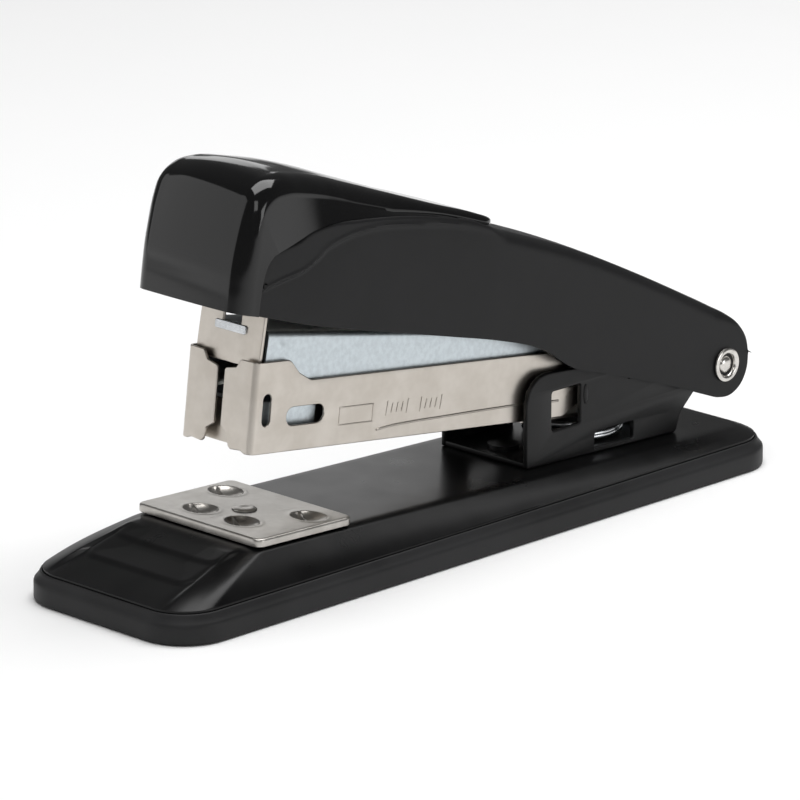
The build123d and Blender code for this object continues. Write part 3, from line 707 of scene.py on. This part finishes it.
def makeHandle():
    # a hood from the top line to the low line, whose points lie at the same share of its length
    top = fromFront(smoothLine(capSeam + handleTop, handle["rows"]))
    low = fromFront(smoothLine(handleLow + handleRear, handle["rows"] * 4))
    lowLength, topLength = lengthsAlong(low), lengthsAlong(top)
    wanted = topLength / topLength[-1] * lowLength[-1]
    low = np.stack([np.interp(wanted, lowLength, low[:, axis]) for axis in (0, 1)], 1)
    # the radius is smaller under the cap and dies out over the rear end
    underCap = np.clip((handle["coverEnd"] + frontY - top[:, 0]) / 4.0, 0, 1)
    radius = handle["round"] * (1 - underCap) + handle["coverRound"] * underCap
    radius *= np.clip((topLength[-1] - topLength) / handle["rearFade"], 0.08, 1)
    grid = hoodGrid(top, low, squareTo(top, low), handle["half"], radius, handle["crown"], sideSteps=60)
    # the side panel stands in a little below a raised line, which dies out towards the rear
    ridge = fromFront(smoothLine(handleRidge, 200))
    ridgeAt = np.interp(grid[..., 1], ridge[:, 0], ridge[:, 1])
    below = ridgeAt - grid[..., 2]
    fade = np.clip((ridge[-1, 0] - grid[..., 1]) / 10.0, 0, 1)
    step = np.clip(below / 0.9, 0, 1)
    inset = handle["ridgeStep"] * step * step * (3 - 2 * step) * np.exp(-np.clip(below - 0.9, 0, 99) / 9.0)
    bead = handle["ridgeBead"] * np.exp(-(below / 0.28)**2)
    onSide = np.abs(grid[..., 0]) > handle["half"] - 0.3
    grid[..., 0] -= np.sign(grid[..., 0]) * (inset - bead) * fade * onSide
    part = walledPart(grid, handle["wall"])
    makePiece("handle_shell", [part], finish["handle_black"], "handle", ["handle"], 40)


def makeCap():
    # the rows go from the rear tip forward, round the brow and down the leaning front
    lines = smoothLine(capRows, cap["rows"])
    top, low = lines[:, :2] + (frontY, 0), lines[:, 2:] + (frontY, 0)
    along = lengthsAlong(top)
    tip = np.clip(1 - along / 3.5, 0, 1)
    toFront = np.clip((along - 36.0) / 22.0, 0, 1)
    half = cap["half"] - 3.0 * (1 - np.sqrt(1 - tip**2)) + (cap["frontHalf"] - cap["half"]) * toFront
    radius = np.interp(along, [0, 6, 34, 50], [0.9, 2.0, 3.4, cap["round"]])
    inward = (low - top) / np.linalg.norm(low - top, axis=1, keepdims=True)
    draft = cap["draft"] * np.interp(along, [0, 10, 40, 62], [0.1, 0.6, 1.0, 0.2])[:, None]
    grid = hoodGrid(top, low, inward, half, radius, cap["crown"], draft, arcSteps=14, acrossSteps=17)
    part = walledPart(grid, cap["wall"])
    makePiece("cap_shell", [part], finish["cap_gloss"], "handle", ["cap"], 40)


makeHandle()
makeCap()


# ---- magazine ----
magazine = {"half": 7.75, "sheet": 0.5, "reach": 105.5, "low": -6.5, "high": 4.5, "noseHigh": 8.0,
            "bend": 0.9, "wallRear": 35.0, "bore": 2.06, "flapGap": 0.75}


def roundTheNose(points):
    # a wall drawn flat as (distance forward, up) bends a quarter turn at the nose and becomes a flap
    ahead, up, out = points[:, 0], points[:, 1], points[:, 2]
    bend = magazine["bend"]
    start = magazine["reach"] - magazine["sheet"] / 2 - bend
    quarter = bend * math.pi / 2
    angle = np.clip(ahead - start, 0, quarter) / bend
    beyond = np.clip(ahead - start - quarter, 0, None)
    x = magazine["half"] - magazine["sheet"] / 2 - bend * (1 - np.cos(angle)) - beyond + out * np.cos(angle)
    u = np.minimum(ahead, start) + bend * np.sin(angle) + out * np.sin(angle)
    return inMagazine(np.stack([x, u, up], 1))


def makeMagazine():
    # two walls drawn flat with their flaps and bent at the nose, and a floor between them
    m = magazine
    start = m["reach"] - m["sheet"] / 2 - m["bend"]
    flapStart = start + m["bend"] * math.pi / 2
    flapEnd = flapStart + m["half"] - m["sheet"] / 2 - m["bend"] - m["flapGap"]
    outline = roundedCorners([
        (-3.3, -1.6), (8.0, -2.6), (m["wallRear"] - 6, -3.2), (m["wallRear"], m["low"]),
        (flapStart + 0.3, m["low"]),
        (flapStart + 1.2, m["low"] + 0.35), (flapEnd - 2.0, m["low"] + 0.1), (flapEnd - 1.6, m["low"] + 2.4),
        (flapEnd, m["low"] + 3.4), (flapEnd, m["noseHigh"] - 2.0), (flapEnd - 2.4, m["noseHigh"] - 1.5),
        (flapEnd - 3.3, m["noseHigh"] - 0.1), (start + 0.2, m["noseHigh"]), (m["reach"] - 7.2, m["noseHigh"]),
        (m["reach"] - 9.4, m["high"] + 1.3), (m["reach"] - 12.0, m["high"]), (m["wallRear"] - 4, m["high"]),
        (8.0, 3.4), (-3.3, 2.6)],
        [2.4, 3, 3, 2.5, 0.5, 1.0, 0.8, 0.5, 0.6, 0.6, 0.5, 0.5, 0.8, 1.6, 1.0, 1.6, 6, 6, 2.0], 6)
    holes = [circle(0, 0, m["bore"], 32), obround(m["reach"] - 2.9, 0.4, 1.8, 5.0),
             obround(m["reach"] - 11.4, -1.0, 8.2, 2.9)]
    cuts = np.concatenate([np.linspace(start - 0.02, flapStart + 0.02, 9), np.arange(38.0, 100.0, 6.0)])
    wall = flatPart(outline, holes, m["sheet"], 0.16, cuts)
    parts = bothSides(moved(wall, roundTheNose))
    wide, floorEnd = m["half"] - 0.3, m["reach"] - 10.5
    corners = [(m["wallRear"], -wide), (floorEnd, -wide), (floorEnd, wide), (m["wallRear"], wide)]
    floor = roundedCorners(corners, 0.4)
    level = m["low"] + m["sheet"] / 2

    def lay(points):
        return inMagazine(np.stack([points[:, 1], points[:, 0], level + points[:, 2]], 1))

    parts.append(moved(flatPart(floor, (), m["sheet"], 0.16), lay))
    makePiece("magazine_channel", parts, finish["nickel"], "magazine", ["magazine"], 40)


marks = {"stroke": 0.11, "crease": 0.2, "groups": (76.2, 68.6), "ticks": 5, "step": 1.15, "lean": 0.25,
         "middle": -1.5, "tall": 2.2, "short": 1.4}


def makeMagazineMarks():
    # stamped lines on both walls: the open shape of a staple, two groups of plain ticks whose
    # first and last are taller, and the long crease that stiffens the wall
    face = magazine["half"] - 0.01
    parts = []
    lines = [[(79.2, -3.3), (86.6, -3.3), (86.6, -0.5), (79.2, -0.5), (79.2, -3.3)]]
    for group in marks["groups"]:
        for index in range(marks["ticks"]):
            high = marks["tall"] if index in (0, marks["ticks"] - 1) else marks["short"]
            foot, middle = group - marks["step"] * index, marks["middle"]
            lines.append([(foot, middle - high / 2), (foot - marks["lean"], middle + high / 2)])
    crease = [(78.0, -4.75), (76.0, -4.5), (70.0, -4.15), (64.0, -4.0), (55.0, -3.75),
              (46.0, -3.6), (36.5, -3.7)]
    for line in lines:
        path = np.array([(face, u, v) for u, v in line])
        for start, end in zip(path[:-1], path[1:]):
            stroke = start + (end - start) * np.linspace(0, 1, 6)[:, None]
            parts += bothSides(tubePart(stroke, marks["stroke"], 8, (1, 0, 0)))
    path = smoothLine([(face, u, v) for u, v in crease], 60)
    parts += bothSides(tubePart(path, marks["crease"], 10, (1, 0, 0)))
    parts = [moved(part, inMagazine) for part in parts]
    makePiece("magazine_marks", parts, finish["nickel"], "magazine", [], 60)


makeMagazine()
makeMagazineMarks()


# ---- driver: arm, blade and its tongue ----
arm = {"half": 7.0, "high": 5.5, "low": -2.0, "round": 1.1, "sheet": 0.5, "tongueHalf": 1.8, "headHalf": 3.4,
       "dimple": 0.2}
blade = {"half": 6.95, "thick": 0.6, "face": 104.65, "step": 0.65, "low": -0.6, "high": 14.5}


def makeArm():
    # inverted channel with a soft upper edge, narrowing to ears round the hinge
    end = blade["face"] - blade["step"] - blade["thick"] - 0.05
    high, under = arm["high"], arm["low"]
    top = smoothLine([(-3.2, 1.6), (-1.6, 3.1), (1.5, 3.5), (8.0, 4.0), (14.0, 4.6), (22.0, 5.3),
                      (30.0, high), (60.0, high), (end, high)], 160)
    low = smoothLine([(-3.3, 0.6), (-2.6, -2.2), (0.5, -3.4), (4.0, -3.2), (10.0, under), (30.0, under),
                      (60.0, under), (end, under)], 160)
    grid = hoodGrid(top, low, squareTo(top, low), arm["half"], arm["round"], 0.05, sideSteps=14)
    # a dimple near the front of each side
    dent = np.hypot(grid[..., 1] - (end - 3.2), grid[..., 2] - (high - 2.7))
    onSide = np.abs(grid[..., 0]) > arm["half"] - 0.3
    grid[..., 0] += np.sign(grid[..., 0]) * arm["dimple"] * np.exp(-(dent / 0.8)**4) * onSide
    level = high - arm["sheet"] / 2
    wide, tip = arm["tongueHalf"], blade["face"] + 0.1
    tongue = flatPart([(end - 3, -wide), (tip, -wide), (tip, wide), (end - 3, wide)], (), arm["sheet"], 0.1)

    def lay(points):
        return np.stack([points[:, 1], points[:, 0], level + points[:, 2]], 1)

    parts = [walledPart(grid, arm["sheet"]), moved(tongue, lay)]
    makePiece("driver_channel", [moved(part, inArm) for part in parts], finish["zinc"], "handle",
              ["driver_arm"], 40)
    # the tongue's head lies across the blade's front
    wide, foot, top = arm["headHalf"], level - 1.1, level + 0.3
    head = roundedCorners([(-wide, foot), (wide, foot), (wide, top), (-wide, top)], 0.35)

    def cross(points):
        return inArm(np.stack([points[:, 0], blade["face"] + points[:, 2], points[:, 1]], 1))

    makePiece("driver_tee", [moved(flatPart(head, (), 0.5, 0.12), cross)], finish["spring_steel"],
              "handle", [], 40)


def makeBlade():
    # flat strip with a window, stood upright at the arm's front
    wide, low, high = blade["half"], blade["low"], blade["high"]
    outline = roundedCorners([(low, -wide), (high, -wide), (high, wide), (low, wide)], 0.4)
    window = obround(arm["high"] + 1.6, 0, 5.2, 4.0, 0.35)
    strip = flatPart(outline, [window], blade["thick"], 0.12)

    def stand(points):
        up, side, out = points[:, 0], points[:, 1], points[:, 2]
        return inArm(np.stack([side, blade["face"] - blade["thick"] / 2 + out, up], 1))

    makePiece("driver_blade_strip", [moved(strip, stand)], finish["nickel"], "handle",
              ["driver_blade"], 40)


makeArm()
makeBlade()


# ---- bracket, hinge and springs ----
bracket = {"half": 9.6, "sheet": 1.0, "front": 85.0, "footEnd": 120.5, "top": 23.3, "ear": 3.6}


def makeBracket():
    # two cheeks stood on edge and a floor that follows the flat top
    b = bracket
    front, end = b["front"] + frontY, b["footEnd"] + frontY
    frontFoot, endFoot = onPlateau(front) + 0.02, onPlateau(end) + 0.02
    hy, hz = hinge[1], hinge[2]
    outline = roundedCorners([
        (front, frontFoot), (end, endFoot), (end + 1.2, endFoot + 3.2), (end + 5.0, hz - b["ear"] + 0.4),
        (hy, hz - b["ear"]), (hy + b["ear"], hz - b["ear"]), (hy + b["ear"], hz + b["ear"]),
        (hy - 4, hz + b["ear"]), (front + 12.0, b["top"] - 0.8), (front, b["top"])],
        [0.4, 0.8, 3.0, 2.0, 6, 3.4, 3.4, 8, 6, 4.8], 10)
    holes = [circle(hy, hz, 2.0, 32), obround(front + 9.2, b["top"] - 7.0, 6.8, 6.6, 0.5),
             obround(front + 20.6, onPlateau(front + 20.6) + b["sheet"] + 1.15, 9.2, 2.9, 0.5)]
    cheek = flatPart(outline, holes, b["sheet"], 0.28)
    parts = bothSides(moved(cheek, sideways(b["half"] - b["sheet"] / 2)))
    inner, near, far = b["half"] - 0.2, front + 0.1, end - 0.1
    floor = roundedCorners([(-inner, near), (inner, near), (inner, far), (-inner, far)], 0.5)

    def lay(points):
        height = onPlateau(points[:, 1]) + 0.02 + b["sheet"] / 2 + points[:, 2]
        return np.column_stack([points[:, :2], height])

    parts.append(moved(flatPart(floor, (), b["sheet"], 0.25), lay))
    # dimples pressed out of each cheek, one tall and one round
    for y, z, high, wide in ((front + 13.6, b["top"] - 5.6, 3.4, 1.0), (front + 24.2, 18.6, 1.3, 1.3)):
        profile = [(1.0, -0.05), (0.96, 0.06), (0.8, 0.17), (0.5, 0.25), (0.2, 0.28), (0.0, 0.285)]
        points, faces = turnedPart(profile, 32)
        shaped = points[:, [2, 0, 1]] * (1, wide / 2, high / 2) + (b["half"], y, z)
        parts += bothSides((shaped, faces))
    makePiece("bracket_yoke", parts, finish["bracket_paint"], "base", ["bracket"], 40)


def makeHinge():
    # rivet with rolled lips, and the domed pin inside it
    outer = handle["half"] + 0.1
    lip = [(2.0, outer - 3.0), (2.0, outer - 0.05), (2.75, outer - 0.02), (2.85, outer + 0.12),
           (2.78, outer + 0.38), (2.5, outer + 0.52), (2.15, outer + 0.46), (1.9, outer + 0.28),
           (1.78, outer - 0.05), (1.75, outer - 3.0), (2.0, outer - 3.0)]
    pin = [(0, 0), (1.5, 0), (1.5, outer - 0.35), (1.42, outer - 0.12), (1.1, outer + 0.14),
           (0.6, outer + 0.28), (0, outer + 0.32)]

    def across(points):
        return np.stack([points[:, 2], hinge[1] + points[:, 0], hinge[2] + points[:, 1]], 1)

    rolled = moved(turnedPart(lip, 56), across)
    end = outer - 2.9
    tube = turnedPart([(1.75, -end), (2.0, -end), (2.0, end), (1.75, end), (1.75, -end)], 40)
    makePiece("hinge_rivet_tube", bothSides(rolled) + [moved(tube, across)], finish["rivet_steel"], "base",
              ["hinge_rivet"], 40)
    makePiece("hinge_pin_core", bothSides(moved(turnedPart(pin, 40), across)), finish["rivet_steel"], "base",
              ["hinge_pin"], 40)


returnSpring = {"wire": 0.55, "turns": 3.15, "drawIn": 1.9, "keep": 0.45,
                "rise": ((0, 0), (0.9, 0.1), (1.1, 0.2), (2.0, 0.36), (2.8, 1), (3.15, 1))}


def makeReturnSpring():
    # cone helix: two low wide turns, then one that runs in and up; rise says how high each turn is
    low, high = boxOf("return_spring")
    wire = returnSpring["wire"]
    t = np.linspace(0, returnSpring["turns"], 420)
    radius = high[0] - wire - returnSpring["drawIn"] * np.clip(t - 1.9, 0, 1.1) / 1.1
    turn, share = np.transpose(returnSpring["rise"])
    height = low[2] + wire + (high[2] - low[2] - 2 * wire) * np.interp(t, turn, share)
    middle = (low[1] + high[1]) / 2
    angle = 2 * math.pi * t + 0.6
    path = np.stack([radius * np.cos(angle), middle + radius * np.sin(angle), height], 1)
    made = makePiece("return_spring_coil", [tubePart(path, wire, 14)], finish["spring_steel"], "base",
                     ["return_spring"], 60)
    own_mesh(made)


pusherSpring = {"wire": 0.28, "turns": 30}


def makePusherSpring():
    # even helix round the guide rod, from the pusher back to the rod's rear end
    mesh = frame["nodes"]["pusher_spring"].data
    points = np.empty(len(mesh.vertices) * 3)
    mesh.vertices.foreach_get("co", points)
    points = points.reshape(-1, 3) / mm
    way = np.array(slideAxis)
    along = points @ way
    start, end = along.min(), along.max()
    centre = (points - np.outer(along, way)).mean(0)
    wire = pusherSpring["wire"]
    radius = np.linalg.norm(points - np.outer(along, way) - centre, axis=1).max() - wire
    t = np.linspace(0, 1, pusherSpring["turns"] * 20 + 1)
    angle = 2 * math.pi * pusherSpring["turns"] * t
    sideWay, upWay = np.array([1.0, 0, 0]), np.cross(way, [1.0, 0, 0])
    path = centre + np.outer(start + wire + (end - start - 2 * wire) * t, way)
    path += radius * (np.outer(np.cos(angle), sideWay) + np.outer(np.sin(angle), upWay))
    made = makePiece("pusher_spring_coil", [tubePart(path, wire, 8)], finish["spring_steel"], "magazine",
                     ["pusher_spring"], 60)
    travel = max(joints["pusher_slide"]["range_m"]) / mm
    1 - travel / (end - start)
    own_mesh(made)


makeBracket()
makeHinge()
makeReturnSpring()
makePusherSpring()


# ---- nodes that keep their own shape ----
kept = {"staple_rail": "nickel", "guide_rod": "spring_steel", "pusher": "zinc",
        "spring_seat": "nickel", "driver_saddle": "nickel", "hinge_washers": "washer_nylon",
        "handle_spring": "spring_steel", "cap_clip": "spring_steel", "bracket_rivets": "bracket_paint",
        "anvil_button": "zinc", "anvil_spring": "spring_steel"}
for node, name in kept.items():
    shown = frame["nodes"][node]
    shown.data.materials.clear()
    shown.data.materials.append(finish[name])


# ---- floor, light and camera ----
studio = {"floor": (0.95, 0.95, 0.95), "sky": 0.13,
          "lamps": {
              "overhead": {"at": (0.05, 0.15, 0.85), "size": (0.6, 1.0), "power": 8.6},
              "right": {"at": (0.95, 0.22, 0.17), "size": (0.5, 0.3), "power": 1.2},
              "rightFront": {"at": (0.75, -0.75, 0.75), "size": (0.5, 0.5), "power": 1.6},
              "leftFront": {"at": (-0.38, -0.42, 0.21), "size": (0.46, 0.42), "power": 0.5},
              "backLeft": {"at": (-0.93, 0.66, 0.30), "size": (0.5, 0.32), "power": 0.6}},
          "lampAim": (0, 0, 0.03), "lens": 276.75, "azimuth": 44.6, "elevation": 16.75, "aimY": 1.8,
          "aimSide": -2.952, "aimUp": 19.879, "distance": 982.454}


def makeStudio():
    # a pale floor just under the object, an even sky, and area lamps that face the object
    corners = np.array([(-3, -3, 0), (3, -3, 0), (3, 3, 0), (-3, 3, 0)], float) - (0, 0, 0.00005)
    mesh = bpy.data.meshes.new("floor")
    mesh.from_pydata(corners.tolist(), [], [(0, 1, 2, 3)])
    floor = bpy.data.objects.new("floor", mesh)
    bpy.context.scene.collection.objects.link(floor)
    paint = Paint("floor_paper", {"Roughness": 0.9, "Specular IOR Level": 0.1})
    tone = paint.noise(40.0, 2)
    dimmer = tuple(0.985 * c for c in studio["floor"])
    paint.feed("Base Color", paint.colours(tone, studio["floor"], dimmer))
    mesh.materials.append(paint.material)
    world = bpy.data.worlds.new("room")
    world.use_nodes = True
    background = world.node_tree.nodes["Background"]
    background.inputs["Color"].default_value = (1, 1, 1, 1)
    background.inputs["Strength"].default_value = studio["sky"]
    bpy.context.scene.world = world
    for name, lamp in studio["lamps"].items():
        light = bpy.data.lights.new(name, "AREA")
        light.shape = "RECTANGLE"
        light.size, light.size_y = lamp["size"]
        light.energy = lamp["power"]
        holder = bpy.data.objects.new(name, light)
        holder.location = lamp["at"]
        towards = Vector(studio["lampAim"]) - Vector(lamp["at"])
        holder.rotation_euler = towards.to_track_quat("-Z", "Y").to_euler()
        bpy.context.scene.collection.objects.link(holder)


def makeCamera():
    # aims at a point of the object from the azimuth and elevation, at a distance
    a, e = math.radians(studio["azimuth"]), math.radians(studio["elevation"])
    back = Vector((math.sin(a) * math.cos(e), -math.cos(a) * math.cos(e), math.sin(e)))
    right = Vector((math.cos(a), math.sin(a), 0))
    aim = Vector((0, studio["aimY"], 0)) + right * studio["aimSide"] + back.cross(right) * studio["aimUp"]
    lens = bpy.data.cameras.new("camera")
    lens.lens = studio["lens"]
    lens.sensor_width = 36
    lens.clip_start, lens.clip_end = 0.05, 20
    camera = bpy.data.objects.new("camera", lens)
    camera.location = (aim + back * studio["distance"]) * mm
    camera.rotation_mode = "QUATERNION"
    camera.rotation_quaternion = back.to_track_quat("Z", "Y")
    bpy.context.scene.collection.objects.link(camera)
    bpy.context.scene.camera = camera


makeStudio()
makeCamera()
bpy.context.scene.view_settings.view_transform = "Standard"
print("scene ready")
